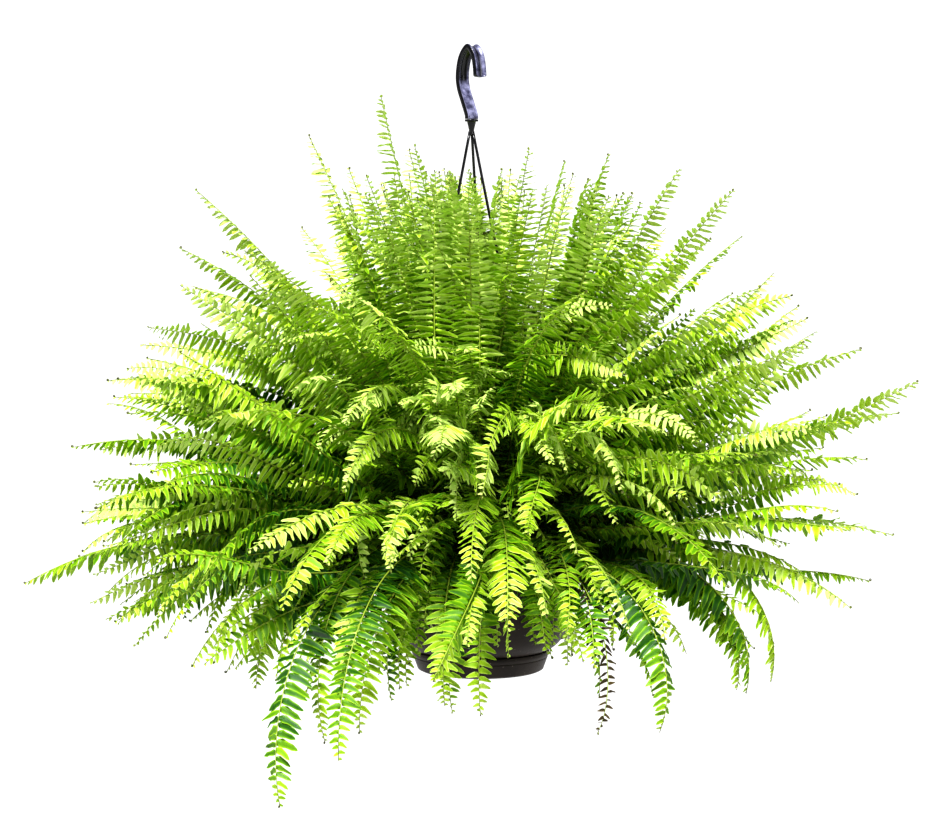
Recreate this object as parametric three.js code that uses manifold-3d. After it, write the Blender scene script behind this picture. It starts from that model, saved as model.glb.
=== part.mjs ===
// A Boston fern in a hanging basket, in millimetres, +Z up.
// The origin is the inner top of the hook, the point where the plant hangs on its bracket.
// The fronds are plain closed blades with the real ones' length, place and curve.

import * as THREE from 'three';
import { mergeVertices } from 'three/addons/utils/BufferGeometryUtils.js';
import Module from 'manifold-3d';

const wasm = await Module();
wasm.setup();

// Driving dimensions
const GAP = 0.3; // left between pieces that touch
const HOOK_WIDTH = 16; // across the strap
const HOOK_THICKNESS = 7; // in the plane of the hook
const HOOK_FLANGE = 2.4; // the strap's two edge ribs
const HOOK_WEB = 2.6; // the wall between them
const HOOK_TURN = -50; // degrees that the mouth is turned from +X
const COLLAR_TOP = -82;
const COLLAR_RADIUS = 8;
const COLLAR_FLANGE = 2.6;
const COLLAR_HEIGHT = 14;
const CONE_TOP_RADIUS = 5.6; // the cone under the flange, narrowing to the strands
const CONE_FOOT_RADIUS = 4;
const STRAND_RADIUS = 1.5;
const STRAND_AZIMUTHS = [81, 201, 321];
const STRAND_SEAT = 2.2; // how far from the axis a strand leaves the collar
const BARB_RADIUS = 4; // a strand's foot, under its lug
const BARB_TIP = 1.2;
const BARB_HEIGHT = 12;
const POT_X = 11; // the heavier left side draws the basket's axis off the plumb line
const RIM_TOP = -604;
const RIM_RADIUS = 127;
const RIM_INNER = 118.5;
const LIP_HEIGHT = 12; // the rim's turned-down edge
const POT_HEIGHT = 132;
const POT_WALL = 2;
const FOOT_RADIUS = 70;
const LUG_RADIUS = 131.5; // where a strand drops through its lug
const LUG_LENGTH = 15;
const LUG_WIDTH = 14;
const LUG_HEIGHT = 3.5;
const LUG_HOLE = 5;
const DRAINS = 4;
const DRAIN_RADIUS = 5;
const DRAIN_CIRCLE = 52; // the radius that the drain holes lie on
const SAUCER_HEIGHT = 26;
const SAUCER_RADIUS = 83;
const SAUCER_FLOOR_RADIUS = 72;
const SAUCER_DROP = 139; // the saucer's underside below the rim
const RING_INNER = 40; // the saucer's raised ring, which the pot stands on
const RING_OUTER = 44;
const SOIL_DEPTH = 18; // the soil's edge below the rim
const SOIL_RISE = 6; // from the soil's edge to its middle
const SOIL_CLEAR = 0.5; // extra gap to the curved wall
const CROWN_RADIUS = 36;
const CROWN_DROP = 4; // the crown's centre below the rim
const ROUND_STEPS = 40;

// Fronds: each leaves the crown at a launch elevation, and bends down by its droop along its length.
const BLADE_WIDTH = 52;
const BLADE_THICKNESS = 6;
const STALK_WIDTH = 4.4;
const FROND_STEPS = 12;
const DROOP_POWER = 1.8; // the bend gathers towards the tip
const SWEEP = 14; // degrees of sideways curve, one way or the other
const STALK_SHARE = 0.14; // share of the length with no leaflets
const TIP_WIDTH = 3;

// seat is the height on the crown, in degrees above its waist.
// Each frond is [azimuth, launch, droop, length, roll], in degrees and millimetres.
const TIERS = [
	{ seat: 72, fronds: [
		[ 180, 79, 2, 530, 30 ], [ 128, 78, 8, 475, 0 ], [ 233, 80, 8, 470, 10 ],
		[ 295, 80, 8, 465, 0 ], [ 26, 80, 8, 455, - 30 ],
	] },
	{ seat: 58, fronds: [
		[ 172, 71, 8, 515, - 20 ], [ 6, 76, 8, 475, - 45 ], [ 346, 67, 12, 490, - 35 ], [ 226, 73, 15, 460, 15 ],
		[ 264, 73, 20, 450, 0 ], [ 146, 71, 12, 480, 5 ], [ 103, 76, 8, 460, 0 ], [ 56, 72, 12, 470, - 10 ],
	] },
	{ seat: 46, fronds: [
		[ 180, 60, 20, 525, 20 ], [ 164, 56, 32, 500, 25 ], [ 353, 62, 16, 500, - 35 ], [ 18, 57, 25, 490, - 20 ],
		[ 222, 60, 36, 470, 25 ], [ 248, 60, 46, 450, 10 ], [ 284, 60, 46, 450, - 10 ],
		[ 340, 56, 36, 450, - 20 ], [ 44, 60, 28, 490, 0 ], [ 104, 61, 28, 490, 0 ], [ 138, 60, 28, 490, 0 ],
	] },
	{ seat: 34, fronds: [
		[ 187, 43, 42, 440, 30 ], [ 168, 40, 42, 460, 20 ], [ 3, 47, 26, 440, - 30 ], [ 348, 37, 22, 485, - 35 ],
		[ 228, 44, 60, 450, 20 ], [ 262, 44, 66, 450, 0 ], [ 296, 44, 62, 450, - 15 ],
		[ 34, 44, 50, 470, 0 ], [ 64, 44, 50, 480, 0 ], [ 116, 44, 50, 480, 0 ], [ 146, 44, 46, 470, 0 ],
	] },
	{ seat: 22, fronds: [
		[ 190, 31, 42, 482, 25 ], [ 356, 20, - 8, 525, - 35 ], [ 10, 24, 20, 530, - 20 ], [ 240, 27, 86, 430, 10 ],
		[ 276, 26, 90, 420, 0 ], [ 304, 28, 80, 430, - 10 ], [ 50, 28, 60, 470, 0 ], [ 98, 28, 66, 480, 0 ],
		[ 134, 28, 62, 480, 0 ], [ 164, 18, 40, 500, 10 ],
	] },
	{ seat: 8, fronds: [
		[ 181, 11, 40, 520, 20 ], [ 1, 13, 28, 465, - 20 ], [ 340, 14, 118, 400, 0 ], [ 236, 10, 120, 535, 10 ],
		[ 264, 10, 130, 325, 0 ], [ 309, 12, 128, 405, 0 ],
	] },
];

const PLASTIC = { color: 0x2b2a2c, roughness: 0.42, metalness: 0 };
const BASKET_PLASTIC = { color: 0x352e2a, roughness: 0.5, metalness: 0 };
const SOIL_FINISH = { color: 0x2a1c12, roughness: 0.95, metalness: 0 };
const CROWN_FINISH = { color: 0x4d3a1e, roughness: 0.9, metalness: 0 };
const FROND_FINISH = { color: 0x6fa31a, roughness: 0.55, metalness: 0 };

const fern = new THREE.Group();
const radians = THREE.MathUtils.degToRad;

function add( name, geometry, finish, x = 0, z = 0 ) {

	const mesh = new THREE.Mesh( geometry, new THREE.MeshStandardMaterial( finish ) );
	mesh.name = name;
	mesh.position.set( x, 0, z );
	fern.add( mesh );
	return mesh;

}

// A profile of [radius, height] points that starts and ends on the axis, turned about +Z.
function turned( profile ) {

	const points = profile.map( ( [ r, z ] ) => new THREE.Vector2( r, z ) );
	return new THREE.LatheGeometry( points, ROUND_STEPS ).rotateX( Math.PI / 2 );

}

// Closed skin over rings of points. Each ring runs anticlockwise about the direction of travel.
function loft( rings ) {

	const sides = rings[ 0 ].length;
	const last = ( rings.length - 1 ) * sides;
	const index = [];
	for ( let i = 0; i < last; i += sides ) {

		for ( let j = 0; j < sides; j ++ ) {

			const next = ( j + 1 ) % sides;
			index.push( i + j, i + next, i + sides + j );
			index.push( i + next, i + sides + next, i + sides + j );

		}

	}

	for ( let j = 1; j < sides - 1; j ++ ) {

		index.push( 0, j + 1, j );
		index.push( last, last + j, last + j + 1 );

	}

	const geometry = new THREE.BufferGeometry().setFromPoints( rings.flat() );
	geometry.setIndex( index );
	return geometry;

}

function solid( geometry ) {

	const bare = geometry.clone();
	bare.deleteAttribute( 'normal' );
	bare.deleteAttribute( 'uv' );
	const merged = mergeVertices( bare );
	return new wasm.Manifold( new wasm.Mesh( {
		numProp: 3,
		vertProperties: new Float32Array( merged.attributes.position.array ),
		triVerts: new Uint32Array( merged.index.array ),
	} ) );

}

function geometryOf( manifold ) {

	const mesh = manifold.getMesh();
	const geometry = new THREE.BufferGeometry();
	geometry.setAttribute( 'position', new THREE.BufferAttribute( mesh.vertProperties, 3 ) );
	geometry.setIndex( new THREE.BufferAttribute( mesh.triVerts, 1 ) );
	return geometry;

}

// Hook: an H-section strap that leans back from the collar and curls over the bracket.
// The strap's second section axis points to the inside of the curl.
function hookGeometry() {

	const half = HOOK_WIDTH / 2;
	const inner = half - HOOK_FLANGE;
	const edge = HOOK_THICKNESS / 2;
	const web = HOOK_WEB / 2;
	const section = new THREE.Shape( [
		[ - half, - edge ], [ - inner, - edge ], [ - inner, - web ], [ inner, - web ],
		[ inner, - edge ], [ half, - edge ], [ half, edge ], [ inner, edge ],
		[ inner, web ], [ - inner, web ], [ - inner, edge ], [ - half, edge ],
	].map( ( [ x, y ] ) => new THREE.Vector2( x, y ) ) );
	const line = [
		[ 0, COLLAR_TOP + 2 * GAP ], [ - 0.6, COLLAR_TOP + 6 ], [ - 8, - 60 ], [ - 15, - 44 ], [ - 17, - 28 ],
		[ - 12, - 8 ], [ 0, edge ], [ 11, - 6 ], [ 16, - 20 ], [ 17, - 31 ],
	];
	const path = new THREE.CatmullRomCurve3( line.map( ( [ x, z ] ) => new THREE.Vector3( x, 0, z ) ) );
	return new THREE.ExtrudeGeometry( section, { steps: 26, bevelEnabled: false, extrudePath: path } );

}

// Collar: a round flange over a short cone that the three strands leave.
function collarGeometry() {

	return turned( [
		[ 0, - COLLAR_HEIGHT ], [ CONE_FOOT_RADIUS, - COLLAR_HEIGHT ], [ CONE_TOP_RADIUS, - COLLAR_FLANGE ],
		[ COLLAR_RADIUS, - COLLAR_FLANGE ], [ COLLAR_RADIUS, 0 ], [ 0, 0 ],
	] );

}

// Strand: a thin rod from the collar to the rim, plumb where it drops through its lug,
// with a barbed foot under the lug.
function strandGeometry( azimuth ) {

	const a = radians( azimuth );
	const out = new THREE.Vector3( Math.cos( a ), Math.sin( a ), 0 );
	const across = new THREE.Vector3( - Math.sin( a ), Math.cos( a ), 0 );
	const foot = RIM_TOP - LUG_HEIGHT;
	const stations = [
		[ STRAND_SEAT, COLLAR_TOP - COLLAR_HEIGHT - GAP, STRAND_RADIUS, 0 ],
		[ LUG_RADIUS - 1.2, RIM_TOP + 20, STRAND_RADIUS, 1 ],
		[ LUG_RADIUS, RIM_TOP + 10, STRAND_RADIUS, 1 ],
		[ LUG_RADIUS, foot - GAP, STRAND_RADIUS, 1 ],
		[ LUG_RADIUS, foot - GAP - 0.5, BARB_RADIUS, 1 ],
		[ LUG_RADIUS, foot - GAP - BARB_HEIGHT, BARB_TIP, 1 ],
	];
	const sides = 8;
	return loft( stations.map( ( [ r, z, radius, atRim ] ) => {

		const centre = out.clone().multiplyScalar( r ).add( new THREE.Vector3( POT_X * atRim, 0, z ) );
		return Array.from( { length: sides }, ( _, j ) => {

			const turn = - 2 * Math.PI * j / sides;
			return centre.clone()
				.addScaledVector( out, radius * Math.cos( turn ) )
				.addScaledVector( across, radius * Math.sin( turn ) );

		} );

	} ) );

}

// The basket's wall, as a curve of [radius, height below the rim].
const wall = new THREE.SplineCurve( [
	[ FOOT_RADIUS, - POT_HEIGHT ], [ 72, - 124 ], [ 77, - 115 ], [ 92, - 106 ],
	[ 103, - 90 ], [ 111.5, - 55 ], [ 120.5, - 2.4 ],
].map( ( [ r, z ] ) => new THREE.Vector2( r, z ) ) );
const wallPoints = wall.getPoints( 9 ).map( ( p ) => [ p.x, p.y ] );

// Pot: a rounded bowl with a turned-down rim, three lugs and four drain holes.
function potGeometry() {

	const inside = wallPoints.slice( 1 ).reverse().map( ( [ r, z ] ) => [ r - POT_WALL, z ] );
	const profile = [
		[ 0, - POT_HEIGHT ], ...wallPoints,
		[ RIM_RADIUS - POT_WALL, - POT_WALL - 0.4 ], [ RIM_RADIUS - POT_WALL, - LIP_HEIGHT ],
		[ RIM_RADIUS, - LIP_HEIGHT ], [ RIM_RADIUS, - 1 ], [ RIM_RADIUS - 1, 0 ], [ RIM_INNER, 0 ],
		...inside,
		[ FOOT_RADIUS - POT_WALL, - POT_HEIGHT + POT_WALL ], [ 0, - POT_HEIGHT + POT_WALL ],
	];
	let pot = solid( turned( profile ) );
	for ( const azimuth of STRAND_AZIMUTHS ) {

		const a = radians( azimuth );
		const lug = new THREE.BoxGeometry( LUG_LENGTH, LUG_WIDTH, LUG_HEIGHT );
		const hole = new THREE.BoxGeometry( LUG_HOLE, LUG_HOLE, 3 * LUG_HEIGHT );
		lug.translate( LUG_RADIUS, 0, - LUG_HEIGHT / 2 );
		hole.translate( LUG_RADIUS, 0, 0 );
		pot = pot.add( solid( lug.rotateZ( a ) ) ).subtract( solid( hole.rotateZ( a ) ) );

	}

	for ( let k = 0; k < DRAINS; k ++ ) {

		const drain = new THREE.CylinderGeometry( DRAIN_RADIUS, DRAIN_RADIUS, 5 * POT_WALL, 12 );
		drain.rotateX( Math.PI / 2 ).translate( DRAIN_CIRCLE, 0, - POT_HEIGHT );
		drain.rotateZ( 2 * Math.PI * ( k + 0.5 ) / DRAINS );
		pot = pot.subtract( solid( drain ) );

	}

	return geometryOf( pot );

}

// Saucer: a shallow dish with a flat underside and a raised ring that the pot stands on.
function saucerGeometry() {

	const top = SAUCER_HEIGHT;
	const stand = SAUCER_DROP - POT_HEIGHT - GAP;
	return turned( [
		[ 0, 0 ], [ SAUCER_FLOOR_RADIUS, 0 ], [ SAUCER_FLOOR_RADIUS + 4, 3 ], [ SAUCER_RADIUS, top - 4 ],
		[ SAUCER_RADIUS, top ], [ SAUCER_RADIUS - POT_WALL, top ], [ SAUCER_FLOOR_RADIUS + 2, 3.6 ],
		[ SAUCER_FLOOR_RADIUS - 1, POT_WALL ], [ RING_OUTER, POT_WALL ], [ RING_OUTER, stand ],
		[ RING_INNER, stand ], [ RING_INNER, POT_WALL ], [ 0, POT_WALL ],
	] );

}

// Soil: fills the pot to a little below the rim and rises slightly to the middle.
function soilGeometry() {

	const clear = POT_WALL + GAP;
	const side = wallPoints.slice( 2 ).filter( ( [ , z ] ) => z < - SOIL_DEPTH - 4 );
	const top = SOIL_RISE - SOIL_DEPTH;
	return turned( [
		[ 0, - POT_HEIGHT + clear ], [ FOOT_RADIUS - clear - SOIL_CLEAR, - POT_HEIGHT + clear ],
		...side.map( ( [ r, z ] ) => [ r - clear - SOIL_CLEAR, z ] ),
		[ RIM_INNER - 2 * POT_WALL - GAP, - SOIL_DEPTH ],
		[ 2 * CROWN_RADIUS, top - 2 ], [ CROWN_RADIUS, top ], [ 0, top ],
	] );

}

// Crown: the mound of rhizome and old leaf bases, cut flat where it stands on the soil.
function crownGeometry() {

	const base = SOIL_RISE - SOIL_DEPTH + GAP + CROWN_DROP;
	const arc = Array.from( { length: 9 }, ( _, k ) => {

		const rise = THREE.MathUtils.lerp( Math.asin( base / CROWN_RADIUS ), Math.PI / 2, k / 8 );
		return [ k === 8 ? 0 : CROWN_RADIUS * Math.cos( rise ), CROWN_RADIUS * Math.sin( rise ) ];

	} );
	return turned( [ [ 0, base ], ...arc ] );

}

// Share of the full width at t, from 0 at the crown to 1 at the tip.
function bladeShare( t ) {

	const opening = THREE.MathUtils.smoothstep( t, STALK_SHARE, STALK_SHARE + 0.16 );
	return opening * ( 1 - t ** 3 ) * ( 1 - 0.25 * t );

}

// Frond: a blade of diamond section along its bent midrib.
// It curves in its upright plane by the droop, and out of it by the sweep.
function frondGeometry( seat, azimuth, launch, droop, length, roll, sweep ) {

	const start = CROWN_RADIUS + 0.5;
	const heading = radians( azimuth );
	const spot = radians( seat );
	const point = new THREE.Vector3(
		start * Math.cos( spot ) * Math.cos( heading ),
		start * Math.cos( spot ) * Math.sin( heading ),
		start * Math.sin( spot ),
	);
	const direction = ( t ) => {

		const rise = radians( launch - droop * t ** DROOP_POWER );
		const turn = heading + radians( sweep * t * t );
		return new THREE.Vector3(
			Math.cos( rise ) * Math.cos( turn ), Math.cos( rise ) * Math.sin( turn ), Math.sin( rise ),
		);

	};

	const step = 1 / FROND_STEPS;
	const rings = [];
	for ( let i = 0; i <= FROND_STEPS; i ++ ) {

		const t = i * step;
		const along = direction( t );
		const turn = heading + radians( sweep * t * t );
		const flat = new THREE.Vector3( - Math.sin( turn ), Math.cos( turn ), 0 );
		const side = flat.applyAxisAngle( along, radians( roll ) * Math.min( 1, 2 * t ) );
		const face = along.clone().cross( side );
		const share = bladeShare( t );
		const taper = 1 - 0.6 * t;
		const width = Math.max( STALK_WIDTH * taper, BLADE_WIDTH * share, TIP_WIDTH ) / 2;
		const depth = Math.max( STALK_WIDTH, BLADE_THICKNESS * Math.sqrt( share ) ) * taper / 2;
		rings.push( [ [ width, 0 ], [ 0, depth ], [ - width, 0 ], [ 0, - depth ] ].map( ( [ w, d ] ) =>
			point.clone().addScaledVector( side, w ).addScaledVector( face, d ) ) );
		point.addScaledVector( direction( t + step / 2 ), length * step );

	}

	return loft( rings );

}

const hook = add( 'hook', hookGeometry(), PLASTIC );
hook.rotation.z = radians( HOOK_TURN );
add( 'hanger_collar', collarGeometry(), PLASTIC, 0, COLLAR_TOP );
STRAND_AZIMUTHS.forEach( ( azimuth, k ) => {

	add( `hanger_strand_${ k + 1 }`, strandGeometry( azimuth ), PLASTIC );

} );
add( 'pot', potGeometry(), BASKET_PLASTIC, POT_X, RIM_TOP );
add( 'saucer', saucerGeometry(), BASKET_PLASTIC, POT_X, RIM_TOP - SAUCER_DROP );
add( 'soil', soilGeometry(), SOIL_FINISH, POT_X, RIM_TOP );
add( 'crown', crownGeometry(), CROWN_FINISH, POT_X, RIM_TOP - CROWN_DROP );
const fronds = TIERS.flatMap( ( { seat, fronds } ) => fronds.map( ( frond ) => [ seat, ...frond ] ) );
fronds.forEach( ( frond, k ) => {

	const name = `frond_${ String( k + 1 ).padStart( 2, '0' ) }`;
	const sweep = SWEEP * Math.sin( 2.4 * k );
	add( name, frondGeometry( ...frond, sweep ), FROND_FINISH, POT_X, RIM_TOP - CROWN_DROP );

} );

export default fern;
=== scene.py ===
"""A Boston fern in a hanging basket, in metres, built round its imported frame.

Every frond is one rule: a bent midrib, and two rows of toothed leaflets along it.
The 51 leading fronds follow the frame's blades one for one, and the inner fronds fill the bush between them.
"""

import bpy
import numpy as np
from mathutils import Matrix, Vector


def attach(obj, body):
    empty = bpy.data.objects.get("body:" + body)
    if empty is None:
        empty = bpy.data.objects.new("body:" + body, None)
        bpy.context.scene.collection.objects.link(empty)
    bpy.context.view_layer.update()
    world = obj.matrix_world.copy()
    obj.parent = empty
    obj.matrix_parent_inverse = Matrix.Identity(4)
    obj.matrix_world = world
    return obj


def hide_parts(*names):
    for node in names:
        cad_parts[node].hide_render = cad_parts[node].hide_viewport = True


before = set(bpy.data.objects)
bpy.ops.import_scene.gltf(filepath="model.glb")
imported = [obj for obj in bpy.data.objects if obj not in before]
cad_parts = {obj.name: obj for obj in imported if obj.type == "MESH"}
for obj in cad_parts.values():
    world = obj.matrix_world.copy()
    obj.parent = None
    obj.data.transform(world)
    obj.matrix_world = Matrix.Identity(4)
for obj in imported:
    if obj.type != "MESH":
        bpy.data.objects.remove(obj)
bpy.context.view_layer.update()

MM = 0.001
POT_OFFSET = 11
RIM_HEIGHT = -604
POT_X = POT_OFFSET * MM
RIM_Z = RIM_HEIGHT * MM
HANGER_AZIMUTHS = (81, 201, 321)
LUG_RADIUS = 131.5

# ---------------------------------------------------------------- mesh helpers


def put_in(
    name, points, quads, tris, materials, slot, stands_for=(), inks=None, sharp=None, kinds=None, uv=None
):
    """One piece from whole arrays: points (n, 3), quads (m, 4) and triangles (k, 3) that index them.

    inks are per-point attributes, sharp the pairs of points whose edge is hard,
    kinds the material number of each face, uv one flat place per point.
    """
    mesh = bpy.data.meshes.new(name)
    corners = np.concatenate([quads.ravel(), tris.ravel()]).astype(np.int32)
    sizes = np.concatenate([np.full(len(quads), 4), np.full(len(tris), 3)])
    starts = np.concatenate([[0], np.cumsum(sizes)[:-1]]).astype(np.int32)
    mesh.vertices.add(len(points))
    mesh.vertices.foreach_set("co", points.astype(np.float32).ravel())
    mesh.loops.add(len(corners))
    mesh.loops.foreach_set("vertex_index", corners)
    mesh.polygons.add(len(sizes))
    mesh.polygons.foreach_set("loop_start", starts)
    if kinds is not None:
        mesh.polygons.foreach_set("material_index", kinds.astype(np.int32))
    mesh.update(calc_edges=True)
    for label, values in (inks or {}).items():
        if values.ndim == 1:
            mesh.attributes.new(label, "FLOAT", "POINT").data.foreach_set("value", values.astype(np.float32))
        else:
            mesh.attributes.new(label, "FLOAT_COLOR", "POINT").data.foreach_set(
                "color", values.astype(np.float32).ravel()
            )
    if uv is not None:
        layer = mesh.uv_layers.new(name="OFBake")
        layer.data.foreach_set("uv", uv[corners].astype(np.float32).ravel())
    if sharp is not None:
        ends = np.empty(2 * len(mesh.edges), np.int32)
        mesh.edges.foreach_get("vertices", ends)
        ends = ends.reshape(-1, 2)
        hard = sharp[ends[:, 0]] & sharp[ends[:, 1]]
        mesh.attributes.new("sharp_edge", "BOOLEAN", "EDGE").data.foreach_set("value", hard)
    for material in materials:
        mesh.materials.append(material)
    made = bpy.data.objects.new(name, mesh)
    bpy.context.scene.collection.objects.link(made)
    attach(made, "root")
    if stands_for:
        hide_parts(*stands_for)
    return made


def joined(parts):
    """Several (points, quads, tris) as one, each part's indices moved past the points before it."""
    counts = np.cumsum([0] + [len(part[0]) for part in parts])
    points = np.concatenate([part[0] for part in parts])
    quads = np.concatenate([part[1].reshape(-1, 4) + start for part, start in zip(parts, counts)])
    tris = np.concatenate([part[2].reshape(-1, 3) + start for part, start in zip(parts, counts)])
    return points, quads, tris


def skin(rings, first=None, last=None):
    """Closed skin over rings (n, sides, 3), anticlockwise about the travel, ending in a point at each
    end.
    """
    count, sides = rings.shape[:2]
    first = rings[0].mean(0) if first is None else first
    last = rings[-1].mean(0) if last is None else last
    points = np.concatenate([rings.reshape(-1, 3), [first, last]])
    grid = np.arange(count * sides).reshape(count, sides)
    ahead = np.roll(grid, -1, 1)
    quads = np.stack([grid[:-1], ahead[:-1], ahead[1:], grid[1:]], -1).reshape(-1, 4)
    start = np.stack([np.full(sides, count * sides), ahead[0], grid[0]], -1)
    end = np.stack([grid[-1], ahead[-1], np.full(sides, count * sides + 1)], -1)
    return points, quads, np.concatenate([start, end])


def turned(profile, steps=96, x=0.0, z=0.0):
    """A profile of (radius, height) in millimetres that starts and ends on the axis, carried round +Z."""
    profile = np.asarray(profile, float) * MM
    angle = -2 * np.pi * np.arange(steps) / steps
    radius, height = profile[1:-1, 0], profile[1:-1, 1]
    rings = np.stack(
        [
            x + radius[:, None] * np.cos(angle),
            radius[:, None] * np.sin(angle),
            z + np.repeat(height[:, None], steps, 1),
        ],
        -1,
    )[:, ::-1]
    return skin(rings, (x, 0, z + profile[0, 1]), (x, 0, z + profile[-1, 1]))


def rounded(profile, radius, arc=4):
    """Each inner corner of the profile gives way to a quadratic arc that starts and ends radius away
    from it.
    """
    p = np.asarray(profile, float)
    before, corner, after = p[:-2], p[1:-1], p[2:]
    back = before - corner
    on = after - corner
    back_length = np.linalg.norm(back, axis=1, keepdims=True)
    on_length = np.linalg.norm(on, axis=1, keepdims=True)
    cut_back = corner + back / back_length * np.minimum(radius, 0.45 * back_length)
    cut_on = corner + on / on_length * np.minimum(radius, 0.45 * on_length)
    s = np.linspace(0, 1, arc)[None, :, None]
    bend = (1 - s) ** 2 * cut_back[:, None] + 2 * s * (1 - s) * corner[:, None] + s**2 * cut_on[:, None]
    return np.concatenate([p[:1], bend.reshape(-1, p.shape[1]), p[-1:]])


def through(points, count):
    """Catmull-Rom curve: a cubic between each two points, with tangents from the points beside them."""
    p = np.asarray(points, float)
    p = np.concatenate([p[:1], p, p[-1:]])
    u = np.linspace(0, len(p) - 3 - 1e-9, count)
    i = u.astype(int)
    f = (u - i)[:, None]
    a, b, c, d = p[i], p[i + 1], p[i + 2], p[i + 3]
    return 0.5 * (2 * b + (c - a) * f + (2 * a - 5 * b + 4 * c - d) * f**2 + (3 * b - a - 3 * c + d) * f**3)


def tube(path, radii, sides=8):
    """Circles of the given radii carried along the path, square to it, with the first circle's side
    kept level.
    """
    path = np.asarray(path, float)
    radii = np.broadcast_to(np.asarray(radii, float), len(path))
    along = np.gradient(path, axis=0)
    along /= np.linalg.norm(along, axis=1, keepdims=True)
    guide = np.array([0.31, 0.95, 0.04])
    side = guide - along * (along @ guide)[:, None]
    side /= np.linalg.norm(side, axis=1, keepdims=True)
    up = np.cross(along, side)
    angle = 2 * np.pi * np.arange(sides) / sides
    rings = (
        path[:, None]
        + radii[:, None, None] * np.cos(angle)[None, :, None] * side[:, None]
        + radii[:, None, None] * np.sin(angle)[None, :, None] * up[:, None]
    )
    return skin(rings)


def lumps(points, size, seed, waves=24):
    """Smooth unevenness from -1 to 1: the mean of plane waves with random directions, about size
    metres long.
    """
    rng = np.random.default_rng(seed)
    ways = rng.normal(size=(waves, 3))
    ways /= np.linalg.norm(ways, axis=1, keepdims=True)
    ways *= 2 * np.pi / (size * rng.uniform(0.6, 1.6, (waves, 1)))
    return np.sin(points @ ways.T + rng.uniform(0, 2 * np.pi, waves)).mean(-1) * 2.2


def smooth(x, low, high):
    """Cubic step from 0 at low to 1 at high."""
    s = np.clip((x - low) / (high - low), 0, 1)
    return s * s * (3 - 2 * s)


# ---------------------------------------------------------------- materials


def add(tree, kind, sockets=None, **settings):
    """One shader node: settings are its own options, sockets its inputs as values or as other nodes'
    outputs.
    """
    made = tree.nodes.new(kind)
    for key, value in settings.items():
        setattr(made, key, value)
    for key, value in (sockets or {}).items():
        if isinstance(value, bpy.types.NodeSocket):
            tree.links.new(value, made.inputs[key])
        else:
            made.inputs[key].default_value = value
    return made


def maths(tree, operation, a, b=0.0, clamp=False):
    return add(tree, "ShaderNodeMath", {0: a, 1: b}, operation=operation, use_clamp=clamp).outputs[0]


def scaled(tree, value, gain, least):
    """value times gain, plus least."""
    return maths(tree, "ADD", maths(tree, "MULTIPLY", value, gain), least)


def ramp(tree, factor, stops):
    """Colour ramp whose stops are (place, (r, g, b))."""
    made = add(tree, "ShaderNodeValToRGB", {0: factor})
    elements = made.color_ramp.elements
    while len(elements) < len(stops):
        elements.new(0.5)
    for element, (place, colour) in zip(elements, stops):
        element.position = place
        element.color = (*colour, 1)
    return made.outputs[0]


def noise(tree, size, detail=3.0, roughness=0.55):
    """Noise over Object coordinates, with features about size metres across."""
    place = add(tree, "ShaderNodeTexCoord").outputs["Object"]
    sockets = {"Vector": place, "Scale": 1 / size, "Detail": detail, "Roughness": roughness}
    return add(tree, "ShaderNodeTexNoise", sockets).outputs["Fac"]


def bump(tree, height, distance, strength=1.0, under=None):
    sockets = {"Height": height, "Distance": distance, "Strength": strength}
    if under is not None:
        sockets["Normal"] = under
    return add(tree, "ShaderNodeBump", sockets).outputs[0]


def fresh(name):
    """A material, its node tree and its Principled shader."""
    made = bpy.data.materials.new(name)
    made.use_nodes = True
    return made, made.node_tree, made.node_tree.nodes["Principled BSDF"]


FRESH_GREENS = [
    (0.0, (0.004, 0.034, 0.002)),
    (0.22, (0.024, 0.125, 0.003)),
    (0.46, (0.180, 0.400, 0.006)),
    (0.72, (0.460, 0.690, 0.014)),
    (1.0, (0.690, 0.860, 0.230)),
]
DRY_BROWNS = [(0.0, (0.012, 0.010, 0.004)), (0.45, (0.045, 0.034, 0.012)), (1.0, (0.190, 0.130, 0.040))]


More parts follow.
